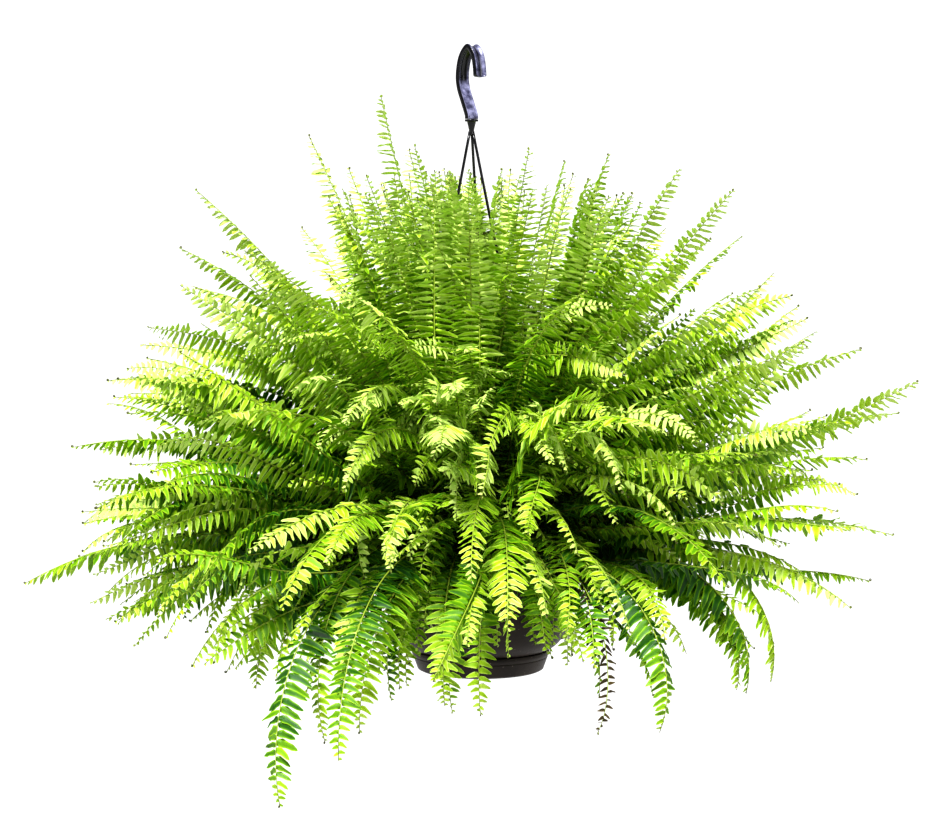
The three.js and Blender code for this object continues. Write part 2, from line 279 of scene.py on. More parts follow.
def leaf_finish(name, stops, glow_colour):
    """Thin leaf: dark along its vein and painted pale at its rim as a highlight on its curled edges,
    yellower towards the frond's tip as young growth and darker towards its base and on low fronds,
    partly painted shade inside the bush, lit through from behind.
    """
    made, tree, shader = fresh(name)
    ink = add(tree, "ShaderNodeAttribute", attribute_name="leaf")
    split = add(tree, "ShaderNodeSeparateColor", {0: ink.outputs["Color"]})
    rim, height, chance = split.outputs
    age_and_shade = ink.outputs["Alpha"]
    patches = noise(tree, 0.035)
    # Painted highlight: the tone rises towards the leaflet's rim, standing for light caught on its curled
    # edges.
    tone = maths(tree, "MULTIPLY", maths(tree, "POWER", rim, 3.0), 0.42)
    # Darker towards the frond's base: partly the tip's young, yellower green and partly painted shade inside
    # the bush.
    tone = maths(tree, "ADD", tone, maths(tree, "MULTIPLY", maths(tree, "POWER", height, 2.2), 0.68))
    tone = maths(tree, "ADD", tone, maths(tree, "MULTIPLY", chance, 0.22))
    tone = maths(tree, "ADD", tone, maths(tree, "MULTIPLY", patches, 0.40))
    # The alpha channel darkens older fronds and also paints shade on the low fronds deep in the bush.
    tone = maths(tree, "ADD", tone, maths(tree, "MULTIPLY", age_and_shade, -0.45))
    tone = maths(tree, "SUBTRACT", tone, 0.04, clamp=True)
    colour = ramp(tree, tone, stops)
    vein = add(tree, "ShaderNodeAttribute", attribute_name="vein").outputs["Fac"]
    ribs = maths(tree, "SINE", vein)
    relief = bump(tree, ribs, 0.00012, 0.55)
    tree.links.new(colour, shader.inputs["Base Color"])
    tree.links.new(relief, shader.inputs["Normal"])
    tree.links.new(scaled(tree, patches, 0.25, 0.33), shader.inputs["Roughness"])
    shader.inputs["Specular IOR Level"].default_value = 0.32
    through_light = add(
        tree, "ShaderNodeMix", {0: 0.5, 6: colour, 7: (*glow_colour, 1)}, data_type="RGBA", blend_type="MIX"
    ).outputs[2]
    glow = add(tree, "ShaderNodeBsdfTranslucent", {"Color": through_light})
    mix = add(tree, "ShaderNodeMixShader", {0: 0.27, 1: shader.outputs[0], 2: glow.outputs[0]})
    tree.links.new(mix.outputs[0], tree.nodes["Material Output"].inputs["Surface"])
    return made


def stalk_finish():
    """Midrib: brown and scaly at the crown, green along the blade, and darker again in the coiled tip."""
    made, tree, shader = fresh("fern_midrib")
    ink = add(tree, "ShaderNodeAttribute", attribute_name="leaf")
    split = add(tree, "ShaderNodeSeparateColor", {0: ink.outputs["Color"]})
    fleck = noise(tree, 0.004, 4.0)
    unevenness = maths(tree, "MULTIPLY", maths(tree, "SUBTRACT", fleck, 0.5), 0.22)
    place = maths(tree, "ADD", split.outputs[1], unevenness)
    colour = ramp(
        tree,
        place,
        [
            (0.0, (0.055, 0.030, 0.012)),
            (0.16, (0.110, 0.085, 0.018)),
            (0.40, (0.200, 0.260, 0.025)),
            (0.94, (0.330, 0.450, 0.040)),
            (1.0, (0.070, 0.075, 0.014)),
        ],
    )
    tree.links.new(colour, shader.inputs["Base Color"])
    tree.links.new(bump(tree, fleck, 0.0003, 0.5), shader.inputs["Normal"])
    tree.links.new(scaled(tree, fleck, 0.3, 0.35), shader.inputs["Roughness"])
    shader.inputs["Specular IOR Level"].default_value = 0.35
    return made


def hanger_finish():
    """Black moulded plastic with a glossy skin and faint flow marks, with a painted lavender sheen on the
    hook's faces standing for reflected light.
    """
    made, tree, shader = fresh("hanger_plastic")
    tone_and_sheen = noise(tree, 0.010, 3.0)
    grain = noise(tree, 0.0011, 4.0, 0.6)
    black = ramp(tree, tone_and_sheen, [(0.30, (0.002, 0.002, 0.0025)), (0.70, (0.008, 0.008, 0.010))])
    # Painted reflection: a lavender sheen that stands for light off the glossy plastic, mixed in by the hook's
    # sheen mask.
    lavender = ramp(tree, tone_and_sheen, [(0.38, (0.060, 0.060, 0.120)), (0.62, (0.260, 0.260, 0.410))])
    painted_sheen = add(tree, "ShaderNodeAttribute", attribute_name="painted_sheen").outputs["Fac"]
    sheen_mix = maths(tree, "MULTIPLY", painted_sheen, maths(tree, "ADD", tone_and_sheen, 0.35), clamp=True)
    colour = add(tree, "ShaderNodeMix", {0: sheen_mix, 6: black, 7: lavender}, data_type="RGBA").outputs[2]
    tree.links.new(colour, shader.inputs["Base Color"])
    tree.links.new(scaled(tree, tone_and_sheen, 0.18, 0.16), shader.inputs["Roughness"])
    tree.links.new(bump(tree, grain, 0.00012, 0.5), shader.inputs["Normal"])
    shader.inputs["Specular IOR Level"].default_value = 0.36
    return made


def basket_finish():
    """Dark brown moulded plastic: a fine cast grain, pale mineral specks and dried splashes of potting
    mix.
    """
    made, tree, shader = fresh("basket_plastic")
    cloud = noise(tree, 0.05, 4.0)
    grain = noise(tree, 0.0016, 5.0, 0.65)
    place = add(tree, "ShaderNodeTexCoord").outputs["Object"]
    specks = add(tree, "ShaderNodeTexVoronoi", {"Vector": place, "Scale": 260.0, "Randomness": 1.0})
    dots = maths(tree, "LESS_THAN", specks.outputs["Distance"], 0.16)
    few = maths(tree, "GREATER_THAN", noise(tree, 0.009, 2.0), 0.55)
    dust = maths(tree, "MULTIPLY", dots, few)
    base = ramp(tree, cloud, [(0.30, (0.010, 0.007, 0.005)), (0.72, (0.030, 0.021, 0.015))])
    dusty = add(
        tree, "ShaderNodeMix", {0: dust, 6: base, 7: (0.110, 0.090, 0.075, 1)}, data_type="RGBA"
    ).outputs[2]
    tree.links.new(dusty, shader.inputs["Base Color"])
    tree.links.new(scaled(tree, cloud, 0.20, 0.36), shader.inputs["Roughness"])
    tree.links.new(bump(tree, grain, 0.0003, 0.7), shader.inputs["Normal"])
    shader.inputs["Specular IOR Level"].default_value = 0.18
    return made


def soil_finish():
    """Damp potting mix: near-black crumbs with browner bark and a few pale grains."""
    made, tree, shader = fresh("potting_soil")
    crumbs = noise(tree, 0.006, 6.0, 0.7)
    fine = noise(tree, 0.0015, 4.0, 0.7)
    colour = ramp(
        tree,
        crumbs,
        [(0.30, (0.010, 0.006, 0.004)), (0.55, (0.034, 0.020, 0.011)), (0.74, (0.090, 0.055, 0.028))],
    )
    tree.links.new(colour, shader.inputs["Base Color"])
    tree.links.new(bump(tree, fine, 0.0012, 0.9, bump(tree, crumbs, 0.003, 0.9)), shader.inputs["Normal"])
    tree.links.new(scaled(tree, fine, 0.2, 0.72), shader.inputs["Roughness"])
    return made


def rhizome_finish():
    """Rhizome and old leaf bases: matted brown scales, paler where they have dried."""
    made, tree, shader = fresh("rhizome")
    scales = noise(tree, 0.005, 5.0, 0.65)
    colour = ramp(
        tree,
        scales,
        [(0.28, (0.028, 0.014, 0.006)), (0.55, (0.110, 0.058, 0.020)), (0.75, (0.240, 0.150, 0.060))],
    )
    tree.links.new(colour, shader.inputs["Base Color"])
    tree.links.new(bump(tree, scales, 0.0015, 0.9), shader.inputs["Normal"])
    tree.links.new(scaled(tree, scales, 0.2, 0.68), shader.inputs["Roughness"])
    return made


LEAF = leaf_finish("fern_leaf", FRESH_GREENS, (0.38, 0.66, 0.006))
DRY_LEAF = leaf_finish("dry_leaf", DRY_BROWNS, (0.10, 0.06, 0.015))
STALK = stalk_finish()
HANGER = hanger_finish()
BASKET = basket_finish()
SOIL = soil_finish()
RHIZOME = rhizome_finish()

# ---------------------------------------------------------------- hanger

HOOK_WIDTH = 16
HOOK_THICKNESS = 7
HOOK_FLANGE = 2.4
HOOK_WEB = 1.8
HOOK_TURN = np.radians(-50)
COLLAR_TOP = -82
STRAND_RADIUS = 1.7
STRAND_BOW = 6
BARB_RADIUS = 4
HOOK_LINE = [
    (0, -81.4), (-0.6, -76), (-8, -60), (-15, -44), (-17, -28),
    (-12, -8), (0, 3.5), (10, -5), (14.2, -19), (15.6, -33),
]


def hook():
    """H-section strap along the hook's line.

    Its web is deep-set in the upper stem and the lip, and fills out flush in the lower stem.
    Also gives where a painted sheen lies on its faces, from 0 to 1, a painted reflection of light off the
    glossy plastic:
    one side of the lower stem, the other side of the lip but for its middle, and the flange edges round the
    web.
    """
    steps = 90
    line = through(HOOK_LINE, steps)
    t = np.linspace(0, 1, steps)
    tangent = np.gradient(line, axis=0)
    tangent /= np.linalg.norm(tangent, axis=1, keepdims=True)
    outward = np.stack([tangent[:, 1], -tangent[:, 0]], 1)
    fill = np.clip((0.40 - t) / 0.06, 0, 1)
    web = HOOK_WEB / 2 + (HOOK_THICKNESS / 2 - 0.5 - HOOK_WEB / 2) * fill
    end = np.sqrt(np.clip(1 - np.clip((t - 0.975) / 0.025, 0, 1) ** 2, 0.05, 1))
    half = HOOK_WIDTH / 2 * end
    edge = HOOK_THICKNESS / 2 * (0.4 + 0.6 * end)
    soft = 0.7
    inner = half - HOOK_FLANGE
    zero = np.zeros(steps)
    section = [
        (-half, -edge + soft), (-half + soft, -edge), (-inner - soft, -edge), (-inner, -edge + soft),
        (-inner + soft, -web), (zero, -web), (inner - soft, -web), (inner, -edge + soft),
        (inner + soft, -edge), (half - soft, -edge), (half, -edge + soft), (half, edge - soft),
        (half - soft, edge), (inner + soft, edge), (inner, edge - soft), (inner - soft, web),
        (zero, web), (-inner + soft, web), (-inner, edge - soft), (-inner - soft, edge),
        (-half + soft, edge), (-half, edge - soft),
    ]
    across = np.stack([pair[0] + zero for pair in section], 1)
    depth = np.stack([pair[1] + zero for pair in section], 1)
    flat = line[:, None] + outward[:, None] * depth[..., None]
    way = np.array([np.cos(HOOK_TURN), np.sin(HOOK_TURN)])
    level = np.array([-np.sin(HOOK_TURN), np.cos(HOOK_TURN)])
    rings = np.stack(
        [
            flat[..., 0] * way[0] + across * level[0],
            flat[..., 0] * way[1] + across * level[1],
            flat[..., 1],
        ],
        -1,
    )
    stem, lip = (1 - smooth(t, 0.33, 0.42))[:, None], smooth(t, 0.60, 0.72)[:, None]
    # Where a painted reflection of light lies on the hook's faces, from 0 to 1, with pale painted highlight
    # lines on the flange edges.
    painted_sheen = np.zeros(across.shape)
    painted_sheen[:, 12:21] = stem
    painted_sheen[:, [13, 14, 18, 19]] = np.maximum(stem, 0.7)
    painted_sheen[:, 1:10] = lip
    painted_sheen[:, 5] = 0
    return *skin(rings * MM), np.append(painted_sheen.ravel(), [0, 0])


def collar():
    """Round flange with a bead, over a cone that narrows to the strands."""
    profile = rounded(
        [
            (0, -19), (2.4, -19), (3.2, -12), (4.9, -5), (5.4, -2.6), (8, -2.6), (8, 0), (6.2, 0), (6.0, 0.2),
            (0, 0.2),
        ],
        0.7,
    )
    return turned(profile, 64, 0, COLLAR_TOP * MM)


def strand(azimuth):
    """Rod from the collar to its lug, bowed inward by half a sine, as the fronds round it press.

    It turns plumb over the last 10 mm above the rim and ends in a barbed foot under its lug.
    """
    a = np.radians(azimuth)
    out = np.array([np.cos(a), np.sin(a), 0])
    foot = RIM_HEIGHT - 3.5
    rod, barb = STRAND_RADIUS, BARB_RADIUS
    stations = [
        (2.2, -96.3, rod, 0), (130.3, -584, rod, 1),
        (LUG_RADIUS, -594, rod, 1), (LUG_RADIUS, foot - 0.3, rod, 1),
        (LUG_RADIUS, foot - 0.8, barb, 1), (LUG_RADIUS, foot - 2.4, 3.7, 1), (LUG_RADIUS, foot - 12.3, 1.2, 1),
    ]
    r, z, radius, share = np.array(stations).T
    fine = np.concatenate([np.linspace(0, 0.985, 40), np.linspace(0.99, 1, 6), np.arange(2, len(r))])
    at = np.arange(len(r))
    r, z, radius, share = (np.interp(fine, at, values) for values in (r, z, radius, share))
    bow = STRAND_BOW * np.sin(np.pi * np.clip(fine, 0, 1))
    path = out * (r - bow)[:, None] + np.array([POT_OFFSET, 0, 0]) * share[:, None]
    path[:, 2] = z
    return tube(path * MM, radius * MM, 12)


*hook_mesh, hook_sheen = hook()
put_in("hanger_hook", *hook_mesh, [HANGER], "hanger_plastic", ["hook"], {"painted_sheen": hook_sheen})
put_in("strand_collar", *collar(), [HANGER], "hanger_plastic", ["hanger_collar"])
for number, azimuth in enumerate(HANGER_AZIMUTHS, 1):
    put_in(
        f"strand_rod_{number}", *strand(azimuth), [HANGER], "hanger_plastic", [f"hanger_strand_{number}"]
    )

# ---------------------------------------------------------------- basket, soil and crown

WALL = [(70, -132), (72, -124), (77, -115), (92, -106), (103, -90), (111.5, -55), (120.5, -2.4)]


def lug(azimuth):
    """Flat ear with a square hole: six squares of four points, joined in a loop over its edge and back
    through the hole.
    """
    turn = np.radians(45 + 90 * np.arange(4))
    corner = np.stack([np.cos(turn), np.sin(turn)], 1) * np.sqrt(2)

    def square(length, width, height):
        return np.concatenate([corner * [length / 2, width / 2], np.full((4, 1), height)], 1)

    rings = [
        square(5, 5, 0), square(13.6, 12.6, 0), square(15, 14, -0.7), square(15, 14, -2.8),
        square(13.6, 12.6, -3.5), square(5, 5, -3.5),
    ]
    points = np.concatenate(rings) + [LUG_RADIUS, 0, RIM_HEIGHT]
    a = np.radians(azimuth)
    spin = np.array([[np.cos(a), np.sin(a), 0], [-np.sin(a), np.cos(a), 0], [0, 0, 1]])
    grid = np.arange(24).reshape(6, 4)
    ahead = np.roll(grid, -1, 1)
    below, beside = np.roll(grid, -1, 0), np.roll(ahead, -1, 0)
    quads = np.stack([grid, below, beside, ahead], -1).reshape(-1, 4)
    return (points @ spin + [POT_OFFSET, 0, 0]) * MM, quads, np.zeros((0, 3), int)


def pot():
    """Bowl wall on its own curve, turned out into a rim whose edge hangs 12 mm, with a bead round the
    shoulder.
    """
    wall = through(WALL, 40)
    inner = wall[::-1][:-2] - [2, 0]
    profile = np.concatenate(
        [
            [(0, -132), (66, -132)],
            wall[1:],
            rounded(
                [(120.5, -2.4), (124.8, -2.4), (125, -12), (127, -12), (127, 0), (118.5, 0), (118.5, -2.4)], 0.8
            )[1:-1],
            inner,
            [(67, -130), (0, -130)],
        ]
    )
    return turned(profile, 120, POT_X, RIM_Z)


def saucer():
    """Dish with flared side, a rolled edge, a groove under it and the ring that the pot stands on."""
    profile = rounded(
        [
            (0, 0), (66, 0), (67, 1.0), (72, 1.0), (76, 3), (81.2, 17.5), (80.6, 18.3), (81.8, 19.2), (83, 22),
            (83, 26), (81, 26), (74, 3.6), (71, 2), (44, 2), (44, 6.7), (40, 6.7), (40, 2), (0, 2),
        ],
        0.7,
        3,
    )
    return turned(profile, 96, POT_X, RIM_Z - 139 * MM)


def soil():
    """Fills the pot. Its top rises 6 mm to the middle and is broken by lumps of three sizes."""
    wall = through(WALL, 24)
    side = wall[(wall[:, 1] < -24)] - [3.4, 0]
    top = np.linspace(0, 1, 26)[:, None]
    surface = np.concatenate([112.5 * (1 - top), -18 + 6 * top**0.6], 1)
    profile = np.concatenate([[(0, -129.5), (66, -129.5)], side[1:], surface])
    points, quads, tris = turned(profile, 96, POT_X, RIM_Z)
    height = points[:, 2] - RIM_Z
    radius = np.hypot(points[:, 0] - POT_X, points[:, 1])
    on_top = (height > -0.019) & (radius < 0.112)
    rough = (
        0.0022 * lumps(points, 0.02, 1)
        + 0.0015 * lumps(points, 0.008, 2)
        + 0.0008 * lumps(points, 0.004, 3)
    )
    points[:, 2] += np.where(on_top, rough, 0)
    return points, quads, tris


def crumbs():
    """Grains of bark and pumice on the soil: eight-sided beads of random size, each squashed and turned."""
    rng = np.random.default_rng(11)
    count = 160
    radius = 0.040 + 0.068 * np.sqrt(rng.random(count))
    angle = rng.uniform(0, 2 * np.pi, count)
    size = rng.uniform(0.0012, 0.0034, count)
    unit = np.array([(1, 0, 0), (0, 1, 0), (-1, 0, 0), (0, -1, 0), (0, 0, 1), (0, 0, -1)], float)
    stretch = rng.uniform(0.6, 1.3, (count, 3))
    spin = np.linalg.qr(rng.normal(size=(count, 3, 3)))[0]
    spin *= np.sign(np.linalg.det(spin))[:, None, None]
    body = np.einsum("nij,nkj->nki", spin, unit[None] * (size[:, None] * stretch)[:, None])
    centre = np.stack(
        [POT_X + radius * np.cos(angle), radius * np.sin(angle), RIM_Z - 0.0135 - 0.03 * (radius - 0.04)], 1
    )
    points = (centre[:, None] + body).reshape(-1, 3)
    faces = np.array([(0, 1, 4), (1, 2, 4), (2, 3, 4), (3, 0, 4), (1, 0, 5), (2, 1, 5), (3, 2, 5), (0, 3, 5)])
    tris = (faces[None] + 6 * np.arange(count)[:, None, None]).reshape(-1, 3)
    return points, np.zeros((0, 4), int), tris


def crown():
    """Mound of rhizome: a sphere's cap with lumps, ringed by the cut stubs of old leaf stalks."""
    base = np.arcsin(-7.7 / 36)
    rise = np.linspace(base, np.pi / 2, 26)[:-1]
    profile = np.concatenate([[(0, -7.7)], np.stack([36 * np.cos(rise), 36 * np.sin(rise)], 1), [(0, 36)]])
    mound = turned(profile, 64, POT_X, RIM_Z - 4 * MM)
    centre = np.array([POT_X, 0, RIM_Z - 0.004])
    out = mound[0] - centre
    swell = 0.0018 * lumps(mound[0], 0.012, 5) + 0.0010 * lumps(mound[0], 0.005, 6)
    raised = np.where(out[:, 2] > -0.007, swell, 0)
    points = mound[0] + out / np.linalg.norm(out, axis=1, keepdims=True) * raised[:, None]
    parts = [(points, mound[1], mound[2])]
    rng = np.random.default_rng(21)
    for _ in range(70):
        seat, azimuth = np.radians(rng.uniform(-4, 78)), rng.uniform(0, 2 * np.pi)
        way = np.array([np.cos(seat) * np.cos(azimuth), np.cos(seat) * np.sin(azimuth), np.sin(seat)])
        tilt = way + 0.5 * np.array([0, 0, 1]) + 0.25 * rng.normal(size=3)
        tilt /= np.linalg.norm(tilt)
        reach = np.linspace(0, rng.uniform(0.006, 0.020), 4)[:, None]
        path = centre + 0.033 * way + tilt * reach
        parts.append(tube(path, rng.uniform(0.0011, 0.0021) * np.array([1.25, 1.0, 0.95, 0.8]), 6))
    return joined(parts)


put_in("basket_pot", *joined([pot(), *[lug(a) for a in HANGER_AZIMUTHS]]), [BASKET], "basket_plastic", ["pot"])
put_in("basket_saucer", *saucer(), [BASKET], "basket_plastic", ["saucer"])
put_in("potting_mix", *joined([soil(), crumbs()]), [SOIL], "potting_soil", ["soil"])
put_in("rhizome_crown", *crown(), [RHIZOME], "rhizome", ["crown"])

# ---------------------------------------------------------------- fronds

CROWN_CENTRE = np.array([POT_X, 0, RIM_Z - 4 * MM])
CROWN_REACH = 36.5 * MM
DROOP_POWER = 1.8
SWEEP = 14
LEAFLET_LENGTH = 28 * MM
LEAFLET_WIDTH = 7.2 * MM
LEAFLET_GAP = 8.6 * MM
VEIN_PITCH = 1.5 * MM
MIDRIB_STEPS = 30
SHARE_OF_STALK = 0.10


def midrib(seat, azimuth, launch, droop, length, roll, sweep, aside=(0, 0, 0), wander=(0, 0)):
    """A frond's line and its frame at t from 0 to 1.

    It leaves the crown at the seat's height, starts at the launch slope, loses droop degrees with t to a power
    and swings sideways by sweep times t squared.
    The side turns about the line by the roll over its first half.
    wander adds a wave to the slope and to the swing, in degrees, which grows with t and ends at nothing.
    aside moves the start away from the crown, for fronds that rise from the soil round it.
    """
    def direction(t):
        wave = t * np.sin(2 * np.pi * t)
        rise = np.radians(launch - droop * t**DROOP_POWER + wander[0] * wave)
        turn = np.radians(azimuth + sweep * t**2 + wander[1] * wave)
        along = np.stack([np.cos(rise) * np.cos(turn), np.cos(rise) * np.sin(turn), np.sin(rise)], 1)
        return along, turn

    t = np.linspace(0, 1, MIDRIB_STEPS + 1)
    a, s = np.radians(azimuth), np.radians(seat)
    outward = np.array([np.cos(s) * np.cos(a), np.cos(s) * np.sin(a), np.sin(s)])
    start = CROWN_CENTRE + aside + CROWN_REACH * outward
    step = direction((t[:-1] + t[1:]) / 2)[0] * (length * MM / MIDRIB_STEPS)
    points = start + np.concatenate([np.zeros((1, 3)), np.cumsum(step, 0)])
    along, turn = direction(t)
    flat = np.stack([-np.sin(turn), np.cos(turn), np.zeros_like(turn)], 1)
    up = np.cross(along, flat)
    lean = np.radians(roll) * np.minimum(1, 2 * t)[:, None]
    side = np.cos(lean) * flat + np.sin(lean) * up
    return t, points, along, side


def leaflets(root, along, side, hand, length, width, forward, slat, lift, sag, curve, rng, steps):
    """Every leaflet of a frond at once, each a closed lens of four-point rings with a point at each end.

    A leaflet runs out to its hand's side, leans forward by its angle, lifts out of the blade, turns about
    its own line by slat, bows towards the tip by curve and hangs by sag.
    Its outline rises fast, holds, and rounds off,
    with an ear on the tipward side of its base and a tooth at every second station.
    """
    count = len(root)
    s = 0.5 - 0.5 * np.cos(np.pi * np.arange(1, steps) / steps)
    face = np.cross(along, side)
    out = side * hand[:, None]
    cf, sf = np.cos(forward)[:, None], np.sin(forward)[:, None]
    way = cf * out + sf * along
    wide = cf * along - sf * out
    cl, sl = np.cos(lift)[:, None], np.sin(lift)[:, None]
    line = cl * way + sl * face
    normal = cl * face - sl * way
    twist = slat[:, None] + rng.normal(0, 0.35, (count, 1)) * s
    ct, st = np.cos(twist)[..., None], np.sin(twist)[..., None]
    across = ct * wide[:, None] + st * normal[:, None]
    proud = ct * normal[:, None] - st * wide[:, None]
    buckle = rng.normal(-0.04, 0.10, count)

    def centre(at):
        at = np.atleast_1d(at)[None, :, None]
        size = length[:, None, None]
        bow = 0.5 * curve[:, None, None] * at**2 * wide[:, None]
        curl = buckle[:, None, None] * at**2 * normal[:, None]
        hang = np.array([0, 0, -1.0]) * sag[:, None, None] * at**2
        return root[:, None] + size * (at * line[:, None] + bow + curl + hang)

    share = np.minimum(1, s / 0.13) ** 0.5 * (1 - s**3.2) ** 0.7
    tooth = 1 + 0.10 * (-1.0) ** np.arange(1, steps)
    tooth[-1] = 1
    half = 0.5 * width[:, None] * share * tooth
    ear = 0.30 * width[:, None] * np.exp(-(((s - 0.12) / 0.07) ** 2))
    keel = (rng.uniform(-0.16, 0.03, count) * width)[:, None] * share
    thick = (0.22 * MM) * (1 - 0.5 * s)
    wave = 0.10 * width[:, None] * np.sin(2 * np.pi * (s * 1.6 + rng.random((count, 1))))
    middle = centre(s)
    rings = np.stack(
        [
            middle - across * half[..., None] + proud * wave[..., None],
            middle + proud * (keel + thick)[..., None],
            middle + across * (half + ear)[..., None] - proud * wave[..., None],
            middle + proud * (keel - thick)[..., None],
        ],
        2,
    )
    points = np.concatenate([centre(0.0), rings.reshape(count, -1, 3), centre(1.0)], 1)
    size = points.shape[1]
    grid = 1 + np.arange(4 * (steps - 1)).reshape(steps - 1, 4)
    ahead = np.roll(grid, -1, 1)
    quads = np.stack([grid[:-1], ahead[:-1], ahead[1:], grid[1:]], -1).reshape(-1, 4)
    start = np.stack([np.zeros(4, int), ahead[0], grid[0]], -1)
    end = np.stack([grid[-1], ahead[-1], np.full(4, size - 1)], -1)
    tris = np.concatenate([start, end])
    base = size * np.arange(count)[:, None, None]
    left = (hand < 0)[:, None, None]
    quads = np.where(left, quads[:, ::-1], quads) + base
    tris = np.where(left, tris[:, ::-1], tris) + base
    edge = np.concatenate([[0.2], np.tile([1.0, 0, 1.0, 0], steps - 1), [1.0]])
    place = np.concatenate([[0], np.repeat(s, 4), [1]])
    over = np.concatenate([[0.5], np.tile([0.04, 0.5, 0.96, 0.5], steps - 1), [0.5]])
    vein = 2 * np.pi * (place[None] * length[:, None] / VEIN_PITCH) - 5.0 * edge[None]
    return points, quads, tris, edge, place, over, vein


def crozier(tip, along, up, size, turns=1.3):
    """Coiled tip: a spiral in the upright plane whose radius shrinks from size to a third of it."""
    a = np.linspace(0, 2 * np.pi * turns, 16)
    radius = size * (1 - 0.66 * a / a[-1])
    centre = tip + up * size
    return centre + radius[:, None] * (np.sin(a)[:, None] * along - np.cos(a)[:, None] * up)


def frond(spec, sweep, style, rng, steps, aside=(0, 0, 0), wander=(0, 0)):
    """One frond's arrays: its leaflets, then its midrib as a thin tube that may end in a coil.

    Leaflet length over the frond rises to full by a quarter of it, holds, and tapers to the tip.
    Leaflets lean forward more and stand closer towards the tip.
    """
    seat, azimuth, launch, droop, length, roll = spec
    t, line, along, side = midrib(seat, azimuth, launch, droop, length, roll, sweep, aside, wander)
    reach = length * MM
    gap = LEAFLET_GAP * style["gap"]
    rows = max(12, int(reach * (1 - SHARE_OF_STALK) / (gap * 0.95)))
    at = SHARE_OF_STALK + (1 - SHARE_OF_STALK) * (np.arange(rows) + 0.5) / rows
    at = at + 0.012 * np.sin(np.pi * at)
    at = np.repeat(np.minimum(at, 0.996), 2)
    hand = np.tile([1.0, -1.0], rows)
    at = np.clip(at + np.where(hand > 0, 0.25, -0.25) * gap / reach, 0, 0.998)
    at = np.clip(at + rng.normal(0, 0.0012, len(at)), 0, 0.998)

    def carried(values):
        return np.stack([np.interp(at, t, values[:, k]) for k in range(3)], 1)

    root, ahead, sideways = carried(line), carried(along), carried(side)
    ahead /= np.linalg.norm(ahead, axis=1, keepdims=True)
    sideways -= ahead * np.sum(sideways * ahead, 1, keepdims=True)
    sideways /= np.linalg.norm(sideways, axis=1, keepdims=True)
    to_tip = (1 - at) * reach
    env = (0.25 + 0.75 * smooth(at, 0.04, 0.26)) * (1 - np.exp(-to_tip / style["taper"]))
    full = LEAFLET_LENGTH * style["size"] * min(1.0, 0.45 + 0.55 * reach / 0.42)
    long = (full * env + 3.2 * MM) * rng.normal(1, 0.07, len(at))
    wide = np.minimum(LEAFLET_WIDTH * style["size"] * style["gap"], 2.2 * MM + 0.24 * long)
    wide = wide * rng.normal(1, 0.06, len(at))
    lean = np.radians(style["lean"] + 30 * at**4 + style["unrest"] * rng.normal(0, 5, len(at)))
    rise = np.degrees(np.arcsin(np.clip(ahead[:, 2], -1, 1)))
    turned_up = -style["slat"] * np.maximum(rise, 0) - style["hang"] * np.minimum(rise, 0)
    slat = np.radians(turned_up + style["unrest"] * rng.normal(0, 9, len(at)))
    lift = np.radians(style["lift"] + style["unrest"] * rng.normal(0, 8, len(at)))
    sag = style["sag"] * long / LEAFLET_LENGTH * rng.uniform(0.5, 1.4, len(at))
    curve = rng.normal(0.05, 0.12, len(at))
    got = leaflets(root, ahead, sideways, hand, long, wide, lean, slat, lift, sag, curve, rng, steps)
    points, quads, tris, edge, place, over, vein = got
    count, size = points.shape[:2]
    chance = np.repeat(rng.random(count), size)
    age_and_shade = np.full(count * size, style["age_and_shade"])
    ink = np.stack([np.tile(edge, count), np.repeat(at, size), chance, age_and_shade], 1)
    cell = np.repeat(np.arange(count), size)
    local = np.stack([np.tile(over, count), np.tile(place, count)], 1)

    thick = (1.35 - 0.95 * t) * MM * (0.8 + 0.2 * style["size"])
    rib_path, rib_thick, rib_t = line, thick, t
    if style["coil"]:
        face = np.cross(along[-1], side[-1])
        coil = crozier(line[-1], along[-1], face, style["coil"] * MM)[1:]
        rib_path = np.concatenate([line, coil])
        rib_thick = np.concatenate([thick, np.full(len(coil), 0.6 * MM)])
        rib_t = np.concatenate([t, np.ones(len(coil))])
    sides = 6
    rib = tube(rib_path, rib_thick, sides)
    rib_place = np.concatenate([np.repeat(rib_t, sides), [0, 1]])
    rib_ink = np.stack([0 * rib_place, rib_place, 0 * rib_place + 0.5, 0 * rib_place + style["age_and_shade"]], 1)
    round_place = np.concatenate([np.tile([0, 1 / 3, 2 / 3, 1, 2 / 3, 1 / 3], len(rib_t)), [0.5, 0.5]])
    travel = np.concatenate([np.repeat(np.linspace(0, 1, len(rib_t)), sides), [0, 1]])
    return {
        "mesh": [(points.reshape(-1, 3), quads.reshape(-1, 4), tris.reshape(-1, 3)), rib],
        "ink": [ink, rib_ink],
        "vein": [vein.ravel(), np.zeros(len(rib_ink))],
        "cell": [cell, np.full(len(rib_ink), -1)],
        "local": [local, np.stack([travel, round_place], 1)],
        "hard": [np.tile(edge > 0.9, count), np.zeros(len(rib_ink), bool)],
    }


